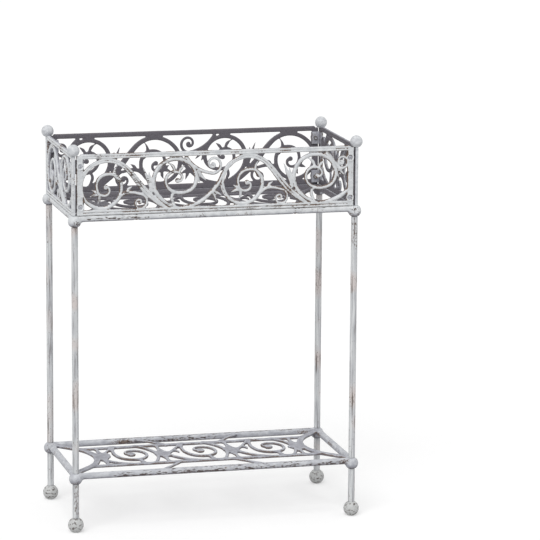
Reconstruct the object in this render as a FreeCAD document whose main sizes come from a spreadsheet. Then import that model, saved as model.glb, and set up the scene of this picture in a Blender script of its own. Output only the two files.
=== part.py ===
import FreeCAD, Part
import math
import os

import Sketcher
from FreeCAD import Rotation, Vector

# A two-tier plant stand of cast iron. Four ball-footed legs carry a low scrollwork
# shelf and a scrollwork tray deck, and four scroll panels screwed together at the
# corners make the wall of the tray. Millimetres, +Z up, the front faces -Y, and the
# origin is on the floor below the middle of the stand.

SIZES = {
    # Legs, feet and the threaded studs that join the stack at each corner
    "leg_spacing_x": 530,
    "leg_spacing_y": 246,
    "leg_diameter": 12,
    "foot_diameter": 29,
    "foot_flat_diameter": 10,
    "foot_seat_diameter": 14,
    "stud_diameter": 6,
    "stud_depth": 14,
    "stud_clearance": 0.1,
    # Decks, measured to their top faces
    "shelf_height": 111.5,
    "tray_height": 594.5,
    "bar_width": 12,
    "bar_height": 11.5,
    "bar_round": 4,
    "knuckle_diameter": 25,
    "knuckle_flat_diameter": 15,
    "grille_drop": 1.2,
    "grille_thickness": 4.7,
    "grille_stem_thickness": 5.5,
    "grille_rail_spacing": 132,
    "grille_rail_width": 10,
    "arch_depth": 64,
    "arch_width": 12,
    "deck_stem_width": 6.2,
    "deck_eye_diameter": 16,
    # Tray panels
    "panel_height": 113,
    "panel_thickness": 6,
    "panel_inset": 1,
    "panel_gap": 2.5,
    "top_rail_height": 9,
    "bottom_rail_height": 10,
    "stile_width": 12,
    "scroll_thickness": 5.6,
    "stem_width": 7.5,
    "eye_diameter": 9,
    "leaf_thickness": 4,
    "leaf_width": 6,
    # Corner screws, their bosses on the long panels and the lugs on the side panels
    "boss_diameter": 14,
    "boss_rise": 1,
    "boss_inset": 7,
    "boss_low": 16,
    "boss_high": 91,
    "lug_height": 23,
    "lug_reach": 17,
    "lug_thickness": 5,
    "screw_diameter": 4,
    "screw_clearance": 0.15,
    "screw_head_diameter": 8,
    "screw_head_height": 2.2,
    "recess_diameter": 9.5,
    "recess_depth": 2.5,
    "nut_width": 7,
    "nut_thickness": 3.2,
    # Screws that hold the panels down on the tray deck
    "deck_screw_diameter": 3.5,
    "deck_screw_head_diameter": 7,
    "deck_screw_head_height": 2.5,
    "deck_screw_bite": 7,
    "deck_screw_spacing_long": 300,
    "deck_screw_spacing_side": 140,
    # Ball finials on the side panels
    "finial_diameter": 23,
    "finial_flat_diameter": 12,
    "finial_sink": 3,
    "finial_clearance": 1,
    "finial_stud_diameter": 4,
    "finial_stud_depth": 9,
}

# The grid that the scrolls are drawn on: one repeat of the panel pattern, leg to leg
# on a side panel and half of that on a long one, and the deck from leg to leg.
DRAWN_REPEAT = 265
DRAWN_PANEL_HEIGHT = 113
DRAWN_DECK_X = 530
DRAWN_DECK_Y = 246
UNITS_ON_DECK = 3
REPEATS_ON_LONG_PANEL = 2

CORNERS = {
    "front_left": (-1, -1),
    "front_right": (1, -1),
    "back_left": (-1, 1),
    "back_right": (1, 1),
}
HALF_X = "sizes.leg_spacing_x / 2"
HALF_Y = "sizes.leg_spacing_y / 2"
KNUCKLE_HEIGHT = ("(sizes.knuckle_diameter"
                  " * sin(acos(sizes.knuckle_flat_diameter / sizes.knuckle_diameter)))")
SHELF_BOTTOM = f"(sizes.shelf_height - {KNUCKLE_HEIGHT})"
TRAY_BOTTOM = f"(sizes.tray_height - {KNUCKLE_HEIGHT})"
BORE = "sizes.stud_diameter + 2 * sizes.stud_clearance"
SCREW_HOLE = "sizes.screw_diameter + 2 * sizes.screw_clearance"

doc = FreeCAD.newDocument("plant_stand")
sheet = doc.addObject("Spreadsheet::Sheet", "sizes")
for row, (alias, value) in enumerate(SIZES.items(), 1):
    sheet.set(f"A{row}", alias)
    sheet.set(f"B{row}", str(value))
    sheet.setAlias(f"B{row}", alias)
doc.recompute()
subparts = []


def size(alias):
    return float(sheet.get(alias))


def bind(item, expressions):
    for path, expression in expressions.items():
        item.setExpression(path, expression)
    return item


def at(x="0", y="0", z="0"):
    return {"Placement.Base.x": x, "Placement.Base.y": y, "Placement.Base.z": z}


def cylinder(name, diameter, length, place):
    item = doc.addObject("Part::Cylinder", name)
    return bind(item, {"Radius": f"({diameter}) / 2", "Height": length, **place})


def box(name, length, width, height, place):
    item = doc.addObject("Part::Box", name)
    return bind(item, {"Length": length, "Width": width, "Height": height, **place})


def ball(name, diameter, low_flat, high_flat, place):
    """A ball cut flat below, and above too where high_flat is given."""
    item = doc.addObject("Part::Sphere", name)
    bind(item, {"Radius": f"{diameter} / 2", "Angle1": f"-acos({low_flat} / {diameter})", **place})
    if high_flat:
        bind(item, {"Angle2": f"acos({high_flat} / {diameter})"})
    return item


def fuse(name, pieces):
    item = doc.addObject("Part::MultiFuse", name)
    item.Shapes = pieces
    item.Refine = True
    return item


def cut(name, base, tools):
    item = doc.addObject("Part::Cut", name)
    item.Base = base
    item.Tool = tools[0] if len(tools) == 1 else fuse(name + "_tools", tools)
    item.Refine = True
    return item


def group(name, pieces):
    item = doc.addObject("Part::Compound", name)
    item.Links = pieces
    return subpart(item, name)


def solid(name, shape):
    """A feature that holds one computed shape."""
    item = doc.addObject("Part::Feature", name)
    item.Shape = shape
    return item


def copy_at(name, casting, place, turn=Rotation()):
    """One use of a casting, turned and then set down at a bound place."""
    item = doc.addObject("Part::Compound", name)
    item.Links = [casting]
    item.Placement.Rotation = turn
    return bind(item, place)


def subpart(item, label):
    item.Label = label
    subparts.append(item)
    return item


def corner(sign_x, sign_y):
    return f"{sign_x} * {HALF_X}", f"{sign_y} * {HALF_Y}"


# Flat scroll drawing: every stem is a face whose two sides are chains of arcs


def smooth(points):
    curve = Part.BSplineCurve()
    curve.interpolate([Vector(x, y, 0) for x, y in points])
    return curve


def arc_or_line(start, middle, end):
    bend = (middle - start).cross(end - start).Length
    if bend < 1e-4 * (end - start).Length ** 2:
        return Part.LineSegment(start, end).toShape()
    return Part.Arc(start, middle, end).toShape()


def stem(points, widths, pieces):
    """A stem along a smooth line through points, round at its ends or pointed where its width is 0."""
    line = smooth(points)
    first, last = line.FirstParameter, line.LastParameter

    def width_at(share):
        place = share * (len(widths) - 1)
        low = min(int(place), len(widths) - 2)
        return widths[low] + (widths[low + 1] - widths[low]) * (place - low)

    def side(share, hand):
        along = line.tangent(first + share * (last - first))[0]
        across = Vector(-along.y, along.x, 0)
        return line.value(first + share * (last - first)) + across * (hand * width_at(share) / 2)

    def cap(share, outward):
        along = line.tangent(first + share * (last - first))[0]
        tip = line.value(first + share * (last - first)) + along * (outward * width_at(share) / 2)
        return Part.Arc(side(share, 1), tip, side(share, -1)).toShape()

    edges = [cap(share, outward) for share, outward in ((0, -1), (1, 1)) if width_at(share) > 0]
    for hand in (1, -1):
        for piece in range(pieces):
            edges.append(arc_or_line(*(side((piece + step) / pieces, hand) for step in (0, 0.5, 1))))
    return Part.Face(Part.Wire(Part.__sortEdges__(edges)))


def volute_points(eye, outer, inner, start_degrees, turn_degrees):
    """An even spiral about eye, from the outer radius to the inner one."""
    steps = max(4, round(abs(turn_degrees) / 45))
    points = []
    for step in range(steps + 1):
        angle = math.radians(start_degrees + turn_degrees * step / steps)
        radius = outer + (inner - outer) * step / steps
        points.append((eye[0] + radius * math.cos(angle), eye[1] + radius * math.sin(angle)))
    return points


def disc(x, y, diameter):
    return Part.Face(Part.Wire(Part.Circle(Vector(x, y, 0), Vector(0, 0, 1), diameter / 2).toShape()))


def rectangle(x_low, y_low, x_high, y_high):
    return Part.makePlane(x_high - x_low, y_high - y_low, Vector(x_low, y_low, 0))


def plate(faces, thickness):
    """Overlapping flat faces raised to one thickness and joined."""
    raised = [face.extrude(Vector(0, 0, thickness)) for face in faces]
    return raised[0].multiFuse(raised[1:]).removeSplitter()


class Drawing:
    """Flat faces of one casting: its stems, and the lower leaves, rails and webs between them."""

    def __init__(self, stretch, shift=0):
        self.stretch, self.shift = stretch, shift
        self.stems, self.low = [], []

    def place(self, points):
        return [(x * self.stretch[0] + self.shift, y * self.stretch[1]) for x, y in points]

    def add_stem(self, points, widths, pieces):
        self.stems.append(stem(self.place(points), widths, pieces))

    def add_strut(self, points, widths, pieces):
        self.low.append(stem(self.place(points), widths, pieces))

    def add_leaf(self, points):
        width = size("leaf_width")
        self.add_strut(points, [0.7 * width, width, 0], 2)

    def add_spiral(self, points, widths, eye, eye_diameter):
        """A stem that winds in to a round eye."""
        self.add_stem(points, widths, len(points) - 1)
        (x, y), = self.place([eye])
        self.stems.append(disc(x, y, eye_diameter))

    def add_volute(self, eye, outer, start, turn, widths, eye_diameter):
        points = volute_points(eye, outer, 0.35 * eye_diameter, start, turn)
        self.add_spiral(points, widths, eye, eye_diameter)


def draw_repeat(drawing, ends_panel):
    """One repeat of the panel pattern: a rising and a falling scroll on a running wave.

    The rising scroll is measured from the start of the repeat, the falling one back from its end.
    """
    def from_end(points):
        return [(DRAWN_REPEAT - back, height) for back, height in points]

    wide, eye = size("stem_width"), size("eye_diameter")
    crest = [(11, 52), (20, 80), (41, 96), (65, 100), (88, 92), (108, 72), (126, 49), (146, 28), (176, 6)]
    drawing.add_stem(crest, [wide, wide, 1.2 * wide, 1.5 * wide, wide], 8)
    left_scroll = [(11, 52), (25, 22), (50, 12), (76, 23), (87, 52), (79, 70), (60, 75),
                   (44, 66), (41, 50), (49, 37), (61, 38), (64, 49), (59, 52)]
    drawing.add_spiral(left_scroll, [wide, 0.9 * wide, 0.6 * wide], (58, 51), eye)
    right_scroll = from_end([(73, 7), (97, 20), (115, 42), (117, 66), (104, 89), (77, 99), (52, 91),
                             (38, 66), (43, 46), (59, 37), (79, 38), (93, 49), (94, 65), (83, 75),
                             (69, 72), (65, 61), (72, 57)])
    right_eye, = from_end([(73, 59)])
    drawing.add_spiral(right_scroll, [wide, wide, 0.9 * wide, 0.6 * wide], right_eye, eye)
    rising = [(73, 7), (49, 11), (29, 19), (13, 32)] + ([] if ends_panel else [(-1, 47), (-12, 68)])
    drawing.add_stem(from_end(rising), [wide, wide], 5)

    small_stem, small_eye = 0.7 * wide, 0.8 * eye
    top_back, top_height, top_radius = (26, 84, 13) if ends_panel else (6, 87, 17)
    top_foot = top_height - top_radius
    top_stem = [(56, 100), (41, 84), (0.4 * 41 + 0.6 * top_back, top_foot + 3), (top_back, top_foot)]
    drawing.add_stem(from_end(top_stem), [wide, small_stem], 3)
    top_eye, = from_end([(top_back, top_height)])
    drawing.add_volute(top_eye, top_radius, -90, 450, [small_stem, 0.7 * small_stem], small_eye)
    drawing.add_stem([(84, 33), (94, 39), (107, 40), (121, 37)], [wide, small_stem], 3)
    drawing.add_volute((121, 21), 16, 90, -450, [small_stem, 0.7 * small_stem], small_eye)

    for leaf in (
        [(96, 40), (100, 46), (108, 51)],
        from_end([(123, 44), (130, 66), (138, 87)]),
        from_end([(121, 40), (124, 62), (127, 79)]),
        [(81, 62), (74, 79), (82, 93)],
        [(43, 37), (36, 37), (27, 33)],
        [(43, 38), (38, 43), (31, 47)],
        [(45, 37), (46, 29), (42, 20)],
        from_end([(78, 74), (82, 86), (92, 92)]),
        from_end([(71, 73), (66, 81), (58, 87)]),
        from_end([(78, 38), (84, 28), (81, 18), (73, 9)]),
        from_end([(35, 76), (27, 65), (18, 56)]),
        from_end([(39, 73), (35, 62), (30, 52)]),
    ):
        drawing.add_leaf(leaf)
    if not ends_panel:
        drawing.add_leaf(from_end([(8, 37), (3, 27), (0, 17)]))
        drawing.add_leaf(from_end([(7, 38), (-3, 33), (-11, 28)]))


def panel_scrolls(repeats, span):
    """Scrollwork of a panel between two leg axes, back face on z = 0, its middle at x = 0."""
    stretch = (span / repeats / DRAWN_REPEAT, size("panel_height") / DRAWN_PANEL_HEIGHT)
    stems, leaves = [], []
    for repeat in range(repeats):
        drawing = Drawing(stretch, span * repeat / repeats - span / 2)
        draw_repeat(drawing, ends_panel=repeat == repeats - 1)
        stems += drawing.stems
        leaves += drawing.low
    return plate(stems, size("scroll_thickness")), plate(leaves, size("leaf_thickness"))


def star_web(drawing, x, half_height, half_width):
    """An upright web drawn about (x, 0): a four-pointed star with hollow sides, cut off at the rails."""
    tip = 0.3 * half_width
    points = [(tip, half_height), (half_width, 0), (tip, -half_height),
              (-tip, -half_height), (-half_width, 0), (-tip, half_height)]
    middles = [(0.45 * half_width, 0.3 * half_height), (0.45 * half_width, -0.3 * half_height), None,
               (-0.45 * half_width, -0.3 * half_height), (-0.45 * half_width, 0.3 * half_height), None]
    edges = []
    for start, middle, end in zip(points, middles, points[1:] + points[:1]):
        way = [start, end] if middle is None else [start, middle, end]
        corners = [Vector(*p, 0) for p in drawing.place([(x + across, up) for across, up in way])]
        side = Part.LineSegment(*corners) if middle is None else Part.Arc(*corners)
        edges.append(side.toShape())
    drawing.low.append(Part.Face(Part.Wire(edges)))


def draw_deck_unit(drawing, x, rail_y):
    """One scroll of a deck between the rails, its eye at x: ring, outer bow, two arms and a leaf."""
    wide = size("deck_stem_width")
    ring = [(-22, rail_y), (-31, 28), (-29, -4), (-14, -30), (8, -34),
            (25, -16), (27, 12), (13, 32), (-5, 28), (-9, 12), (-1, 4)]
    bow = [(20, rail_y), (42, 30), (48, -8), (42, -40), (32, -rail_y)]
    upper_arm = [(-66, -4), (-47, 24), (-28, rail_y)]
    lower_arm = [(-66, -6), (-49, -40), (-14, -rail_y)]
    foot = [(8, -34), (11, -50), (12, -rail_y)]
    leaf = [(-48, 24), (-42, 12), (-42, 0)]
    lines = (ring, bow, upper_arm, lower_arm, foot, leaf)
    moved = [[(x + across, up) for across, up in line] for line in lines]
    ring, bow, upper_arm, lower_arm, foot, leaf = moved
    drawing.add_spiral(ring, [wide, wide, 0.7 * wide], (x, 4), size("deck_eye_diameter"))
    drawing.add_stem(bow, [wide] * 2, 4)
    drawing.add_stem(upper_arm, [wide, 0.8 * wide], 3)
    drawing.add_stem(lower_arm, [wide, 0.8 * wide], 3)
    drawing.add_strut(foot, [wide, 1.6 * wide], 2)
    drawing.add_leaf(leaf)


def deck_scrolls():
    """The scroll grille of a deck, its underside on z = 0."""
    drawing = Drawing((size("leg_spacing_x") / DRAWN_DECK_X, size("leg_spacing_y") / DRAWN_DECK_Y))
    wide = size("deck_stem_width")
    apex = (size("leg_spacing_x") / 2 - size("arch_depth")) / drawing.stretch[0]
    rail_y = size("grille_rail_spacing") / 2 / drawing.stretch[1]
    rail_end = apex + 18
    for side in (-1, 1):
        arch = [(265, 123), (242, 88), (rail_end, 61), (apex + 5, 33), (apex, 0),
                (apex + 5, -33), (rail_end, -61), (242, -88), (265, -123)]
        drawing.add_stem([(side * x, y) for x, y in arch], [size("arch_width")] * 2, 8)
        low = side * rail_y * drawing.stretch[1] - size("grille_rail_width") / 2
        reach = rail_end * drawing.stretch[0]
        drawing.low.append(rectangle(-reach, low, reach, low + size("grille_rail_width")))
        for end in (-1, 1):
            strut = [(end * 51, side * (rail_y - 2)), (end * 70, side * 88), (end * 100, side * 122)]
            drawing.add_strut(strut, [1.5 * wide, wide, 1.7 * wide], 3)

    pitch = (2 * apex) / UNITS_ON_DECK
    end_web = apex - 12
    webs = [-end_web] + [-apex + gap * pitch - 5 for gap in range(1, UNITS_ON_DECK)] + [end_web]
    for x in webs:
        star_web(drawing, x, rail_y - 1, 17)
    for unit in range(UNITS_ON_DECK):
        draw_deck_unit(drawing, -apex + (unit + 0.5) * pitch + 2, rail_y)
    stems = plate(drawing.stems, size("grille_stem_thickness"))
    return stems, plate(drawing.low, size("grille_thickness"))


# Decks


def rounded_bar(name, length_expression, turned):
    """A bar with rounded edges along X or Y, its top face on z = 0 and its middle at the origin."""
    body = doc.addObject("PartDesign::Body", name)
    sketch = body.newObject("Sketcher::SketchObject", name + "_section")
    role = "XZ_Plane" if turned else "YZ_Plane"
    sketch.AttachmentSupport = [(origin_plane(body, role), "")]
    sketch.MapMode = "FlatFace"
    half, tall = size("bar_width") / 2, size("bar_height")
    corners = [Vector(-half, -tall, 0), Vector(half, -tall, 0), Vector(half, 0, 0), Vector(-half, 0, 0)]
    add_rectangle(sketch, corners, "sizes.bar_width", "sizes.bar_height")
    sketch.addConstraint(Sketcher.Constraint("PointOnObject", 2, 1, -1))
    pad = body.newObject("PartDesign::Pad", name + "_pad")
    pad.Profile = sketch
    pad.SideType = "Symmetric"
    bind(pad, {"Length": length_expression})
    doc.recompute()
    along = Vector(0, 1, 0) if turned else Vector(1, 0, 0)
    long_edges = [f"Edge{number}" for number, edge in enumerate(pad.Shape.Edges, 1)
                  if abs(edge.tangentAt(edge.FirstParameter).dot(along)) > 0.99]
    rounding = body.newObject("PartDesign::Fillet", name + "_round")
    rounding.Base = (pad, long_edges)
    bind(rounding, {"Radius": "sizes.bar_round"})
    return body


def origin_plane(body, role):
    return next(plane for plane in body.Origin.OriginFeatures if plane.Role == role)


def add_rectangle(sketch, corners, width_expression, height_expression):
    """A rectangle held square, centred on the sketch's upright axis, with bound sizes."""
    first = sketch.GeometryCount
    for index, start in enumerate(corners):
        sketch.addGeometry(Part.LineSegment(start, corners[(index + 1) % 4]), False)
    for index in range(4):
        sketch.addConstraint(Sketcher.Constraint("Coincident", first + index, 2, first + (index + 1) % 4, 1))
    for index, kind in enumerate(("Vertical", "Horizontal", "Vertical"), 1):
        sketch.addConstraint(Sketcher.Constraint(kind, first + index))
    sketch.addConstraint(Sketcher.Constraint("Symmetric", first, 1, first, 2, -2))
    width = corners[1].x - corners[0].x
    height = corners[2].y - corners[1].y
    sized = sketch.addConstraint(Sketcher.Constraint("DistanceX", first, 1, first, 2, width))
    sketch.setExpression(f"Constraints[{sized}]", width_expression)
    sized = sketch.addConstraint(Sketcher.Constraint("DistanceY", first + 1, 1, first + 1, 2, height))
    sketch.setExpression(f"Constraints[{sized}]", height_expression)
    return first


def deck_casting():
    """Bars, corner drums and grille in one casting, its top face on z = 0."""
    pieces = []
    for sign in (-1, 1):
        bar = rounded_bar(f"long_bar_{sign}", "sizes.leg_spacing_x", False)
        pieces.append(bind(bar, at(y=f"{sign} * {HALF_Y}")))
        bar = rounded_bar(f"side_bar_{sign}", "sizes.leg_spacing_y", True)
        pieces.append(bind(bar, at(x=f"{sign} * {HALF_X}")))
    for name, signs in CORNERS.items():
        x, y = corner(*signs)
        pieces.append(ball("knuckle_" + name, "sizes.knuckle_diameter", "sizes.knuckle_flat_diameter",
                           "sizes.knuckle_flat_diameter", at(x, y, f"-{KNUCKLE_HEIGHT} / 2")))
    for number, layer in enumerate(deck_scrolls()):
        scrolls = solid(f"deck_scrolls_{number}", layer)
        pieces.append(bind(scrolls, at(z="-sizes.grille_drop - sizes.grille_thickness")))
    return fuse("deck_casting", pieces)


def deck_screw_places():
    """Plan position of each hold-down screw, on the middle of the panel above it."""
    long_y = f"({HALF_Y} + sizes.bar_width / 2 - sizes.panel_inset - sizes.panel_thickness / 2)"
    side_x = f"({HALF_X} + sizes.bar_width / 2 - sizes.panel_inset - sizes.panel_thickness / 2)"
    for sign in (-1, 1):
        for end in (-1, 1):
            yield f"{end} * sizes.deck_screw_spacing_long / 2", f"{sign} * {long_y}"
            yield f"{sign} * {side_x}", f"{end} * sizes.deck_screw_spacing_side / 2"


def make_decks():
    casting = deck_casting()
    shelf = copy_at("shelf_casting", casting, at(z="sizes.shelf_height"))
    tray = copy_at("tray_casting", casting, at(z="sizes.tray_height"))
    shelf_bores, tray_bores = [], []
    for name, signs in CORNERS.items():
        x, y = corner(*signs)
        shelf_bores.append(cylinder("shelf_bore_" + name, BORE, KNUCKLE_HEIGHT, at(x, y, SHELF_BOTTOM)))
        tray_bores.append(cylinder("tray_bore_" + name, BORE, "sizes.stud_depth", at(x, y, TRAY_BOTTOM)))
    underside = "sizes.tray_height - sizes.bar_height"
    hole = "sizes.deck_screw_diameter + 2 * sizes.screw_clearance"
    head = "sizes.deck_screw_head_diameter + 2 * sizes.screw_clearance"
    for number, (x, y) in enumerate(deck_screw_places()):
        tray_bores.append(cylinder(f"deck_hole_{number}", hole, "sizes.bar_height", at(x, y, underside)))
        tray_bores.append(cylinder(f"deck_counterbore_{number}", head, "sizes.deck_screw_head_height",
                                   at(x, y, underside)))
    subpart(cut("shelf_cut", shelf, shelf_bores), "shelf_deck")
    subpart(cut("tray_cut", tray, tray_bores), "tray_deck")


# Panels, each drawn lying down: x along it, y up it, z from its back face outwards


def panel_frame(name, length_expression, span):
    """The rails and end stiles of a panel as one padded frame, first drawn leg to leg."""
    body = doc.addObject("PartDesign::Body", name)
    sketch = body.newObject("Sketcher::SketchObject", name + "_outline")
    sketch.AttachmentSupport = [(origin_plane(body, "XY_Plane"), "")]
    sketch.MapMode = "FlatFace"
    half, tall = span / 2, size("panel_height")
    corners = [Vector(-half, 0, 0), Vector(half, 0, 0), Vector(half, tall, 0), Vector(-half, tall, 0)]
    outer = add_rectangle(sketch, corners, length_expression, "sizes.panel_height")
    sketch.addConstraint(Sketcher.Constraint("PointOnObject", outer, 1, -1))
    low, high = size("bottom_rail_height"), tall - size("top_rail_height")
    half -= size("stile_width")
    corners = [Vector(-half, low, 0), Vector(half, low, 0), Vector(half, high, 0), Vector(-half, high, 0)]
    inner = add_rectangle(sketch, corners, f"{length_expression} - 2 * sizes.stile_width",
                          "sizes.panel_height - sizes.top_rail_height - sizes.bottom_rail_height")
    sized = sketch.addConstraint(Sketcher.Constraint("DistanceY", outer, 1, inner, 1, low))
    sketch.setExpression(f"Constraints[{sized}]", "sizes.bottom_rail_height")
    pad = body.newObject("PartDesign::Pad", name + "_pad")
    pad.Profile = sketch
    bind(pad, {"Length": "sizes.panel_thickness"})
    return body


LONG_PANEL = (f"2 * ({HALF_X} + sizes.bar_width / 2 - sizes.panel_inset"
              " - sizes.panel_thickness - sizes.panel_gap)")
SIDE_PANEL = f"2 * ({HALF_Y} + sizes.bar_width / 2 - sizes.panel_inset)"
SIDE_MIDDLE = f"({HALF_X} + sizes.bar_width / 2 - sizes.panel_inset - sizes.panel_thickness / 2)"
BOSS_HEIGHTS = ("sizes.boss_low", "sizes.boss_high")


def hold_down_bores(name, spacing):
    """Blind holes up into the bottom rail for the deck screws."""
    bores = []
    for end in (-1, 1):
        bore = cylinder(f"{name}_hold_down_{end}", "sizes.deck_screw_diameter + 2 * sizes.screw_clearance",
                        "sizes.deck_screw_bite",
                        at(f"{end} * {spacing} / 2", "0", "sizes.panel_thickness / 2"))
        bore.Placement.Rotation = Rotation(Vector(1, 0, 0), -90)
        bores.append(bore)
    return bores


def finial_notches(name, offset_x, offset_z):
    """Round seats cut down into the top corners for the ball finials."""
    notches = []
    for end in (-1, 1):
        notch = cylinder(f"{name}_seat_{end}", "sizes.finial_diameter + 2 * sizes.finial_clearance",
                         "sizes.finial_sink + 1",
                         at(f"{end} * {offset_x}", "sizes.panel_height - sizes.finial_sink", offset_z))
        notch.Placement.Rotation = Rotation(Vector(1, 0, 0), -90)
        notches.append(notch)
    return notches


def long_panel():
    """The casting used for the front and, turned half round, for the back."""
    span = size("leg_spacing_x")
    pieces = [panel_frame("long_frame", LONG_PANEL, span)]
    for number, layer in enumerate(panel_scrolls(REPEATS_ON_LONG_PANEL, span)):
        pieces.append(solid(f"long_scrolls_{number}", layer))
    tools = hold_down_bores("long", "sizes.deck_screw_spacing_long")
    back_face = f"({HALF_Y} + sizes.bar_width / 2 - sizes.panel_inset - sizes.panel_thickness)"
    tools += finial_notches("long", SIDE_MIDDLE, f"({HALF_Y} - {back_face})")
    for end in (-1, 1):
        for number, height in enumerate(BOSS_HEIGHTS):
            place = at(f"{end} * ({LONG_PANEL} / 2 - sizes.boss_inset)", height)
            name = f"boss_{end}_{number}"
            deep = "sizes.panel_thickness + sizes.boss_rise"
            pieces.append(cylinder(name, "sizes.boss_diameter", deep, place))
            tools.append(cylinder(name + "_hole", SCREW_HOLE, deep, place))
            recess = {**place, "Placement.Base.z":
                      "sizes.panel_thickness + sizes.boss_rise - sizes.recess_depth"}
            tools.append(cylinder(name + "_recess", "sizes.recess_diameter", "sizes.recess_depth", recess))
    return cut("long_panel", fuse("long_blank", pieces), tools)


def side_panel():
    """The casting used at both ends, with the lugs that take the corner screws."""
    span = size("leg_spacing_y")
    pieces = [panel_frame("side_frame", SIDE_PANEL, span)]
    for number, layer in enumerate(panel_scrolls(1, span)):
        pieces.append(solid(f"side_scrolls_{number}", layer))
    tools = hold_down_bores("side", "sizes.deck_screw_spacing_side")
    tools += finial_notches("side", HALF_Y, "sizes.panel_thickness / 2")
    outer = f"({SIDE_PANEL} / 2 - sizes.panel_thickness)"
    screw_depth = "sizes.panel_gap + sizes.boss_inset"
    for end in (-1, 1):
        near = f"{outer} - sizes.lug_thickness" if end > 0 else f"-{outer}"
        for number, height in enumerate(BOSS_HEIGHTS):
            name = f"lug_{end}_{number}"
            low = f"{height} - sizes.lug_height / 2"
            deep = "sizes.lug_reach + sizes.panel_thickness / 2"
            place = at(near, low, "-sizes.lug_reach")
            pieces.append(box(name, "sizes.lug_thickness", "sizes.lug_height", deep, place))
            hole = cylinder(name + "_hole", SCREW_HOLE, "sizes.lug_thickness",
                            at(near, height, f"-({screw_depth})"))
            hole.Placement.Rotation = Rotation(Vector(0, 1, 0), 90)
            tools.append(hole)
    seat = "sizes.panel_height - sizes.finial_sink"
    for end in (-1, 1):
        place = at(f"{end} * {HALF_Y}", f"{seat} - sizes.finial_stud_depth", "sizes.panel_thickness / 2")
        bore = cylinder(f"finial_hole_{end}", "sizes.finial_stud_diameter + 2 * sizes.stud_clearance",
                        "sizes.finial_stud_depth", place)
        bore.Placement.Rotation = Rotation(Vector(1, 0, 0), -90)
        tools.append(bore)
    return cut("side_panel", fuse("side_blank", pieces), tools)


def make_panels():
    long_casting, side_casting = long_panel(), side_panel()
    edge = "sizes.bar_width / 2 - sizes.panel_inset - sizes.panel_thickness"
    upright = Rotation(Vector(1, 0, 0), 90)
    for label, casting, turn, x, y in (
        ("front_panel", long_casting, 0, "0", f"-({HALF_Y} + {edge})"),
        ("back_panel", long_casting, 180, "0", f"{HALF_Y} + {edge}"),
        ("left_panel", side_casting, -90, f"-({HALF_X} + {edge})", "0"),
        ("right_panel", side_casting, 90, f"{HALF_X} + {edge}", "0"),
    ):
        turned = Rotation(Vector(0, 0, 1), turn).multiply(upright)
        subpart(copy_at(label, casting, at(x, y, "sizes.tray_height"), turned), label)


# Legs, feet, finials and fasteners

FOOT_CENTRE = "sizes.foot_diameter / 2 * sin(acos(sizes.foot_flat_diameter / sizes.foot_diameter))"
FOOT_TOP = (f"{FOOT_CENTRE} + sizes.foot_diameter / 2"
            " * sin(acos(sizes.foot_seat_diameter / sizes.foot_diameter))")
FINIAL_SEAT = "sizes.tray_height + sizes.panel_height - sizes.finial_sink"
FINIAL_RISE = "sizes.finial_diameter / 2 * sin(acos(sizes.finial_flat_diameter / sizes.finial_diameter))"


def make_corner_stacks():
    foot_studs, shelf_studs, tray_studs, finial_studs = [], [], [], []
    depth = "sizes.stud_depth"
    stud = "sizes.stud_diameter"
    for name, signs in CORNERS.items():
        x, y = corner(*signs)
        foot = ball("ball_" + name, "sizes.foot_diameter", "sizes.foot_flat_diameter",
                    "sizes.foot_seat_diameter", at(x, y, FOOT_CENTRE))
        bore = cylinder("foot_bore_" + name, BORE, depth, at(x, y, f"{FOOT_TOP} - {depth}"))
        subpart(cut("foot_cut_" + name, foot, [bore]), "foot_" + name)
        low_end = at(x, y, f"{FOOT_TOP} - {depth}")
        foot_studs.append(cylinder("foot_stud_" + name, stud, f"2 * {depth}", low_end))

        rod = cylinder("lower_rod_" + name, "sizes.leg_diameter", f"{SHELF_BOTTOM} - ({FOOT_TOP})",
                       at(x, y, FOOT_TOP))
        low = cylinder("lower_rod_foot_bore_" + name, BORE, depth, at(x, y, FOOT_TOP))
        high = cylinder("lower_rod_top_bore_" + name, BORE, depth, at(x, y, f"{SHELF_BOTTOM} - {depth}"))
        subpart(cut("lower_leg_cut_" + name, rod, [low, high]), "lower_leg_" + name)
        shelf_studs.append(cylinder("shelf_stud_" + name, stud, f"{KNUCKLE_HEIGHT} + 2 * {depth}",
                                    at(x, y, f"{SHELF_BOTTOM} - {depth}")))

        rod = cylinder("upper_rod_" + name, "sizes.leg_diameter", f"{TRAY_BOTTOM} - sizes.shelf_height",
                       at(x, y, "sizes.shelf_height"))
        low = cylinder("upper_rod_foot_bore_" + name, BORE, depth, at(x, y, "sizes.shelf_height"))
        high = cylinder("upper_rod_top_bore_" + name, BORE, depth, at(x, y, f"{TRAY_BOTTOM} - {depth}"))
        subpart(cut("upper_leg_cut_" + name, rod, [low, high]), "upper_leg_" + name)
        low_end = at(x, y, f"{TRAY_BOTTOM} - {depth}")
        tray_studs.append(cylinder("tray_stud_" + name, stud, f"2 * {depth}", low_end))

        top_x = f"{signs[0]} * {SIDE_MIDDLE}"
        finial = ball("finial_ball_" + name, "sizes.finial_diameter", "sizes.finial_flat_diameter", None,
                      at(top_x, y, f"{FINIAL_SEAT} + {FINIAL_RISE}"))
        bore = cylinder("finial_bore_" + name, "sizes.finial_stud_diameter + 2 * sizes.stud_clearance",
                        "sizes.finial_stud_depth", at(top_x, y, FINIAL_SEAT))
        subpart(cut("finial_cut_" + name, finial, [bore]), "finial_" + name)
        finial_studs.append(cylinder("finial_stud_" + name, "sizes.finial_stud_diameter",
                                     "2 * sizes.finial_stud_depth",
                                     at(top_x, y, f"{FINIAL_SEAT} - sizes.finial_stud_depth")))
    group("foot_studs", foot_studs)
    group("shelf_studs", shelf_studs)
    group("tray_studs", tray_studs)
    group("finial_studs", finial_studs)


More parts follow.
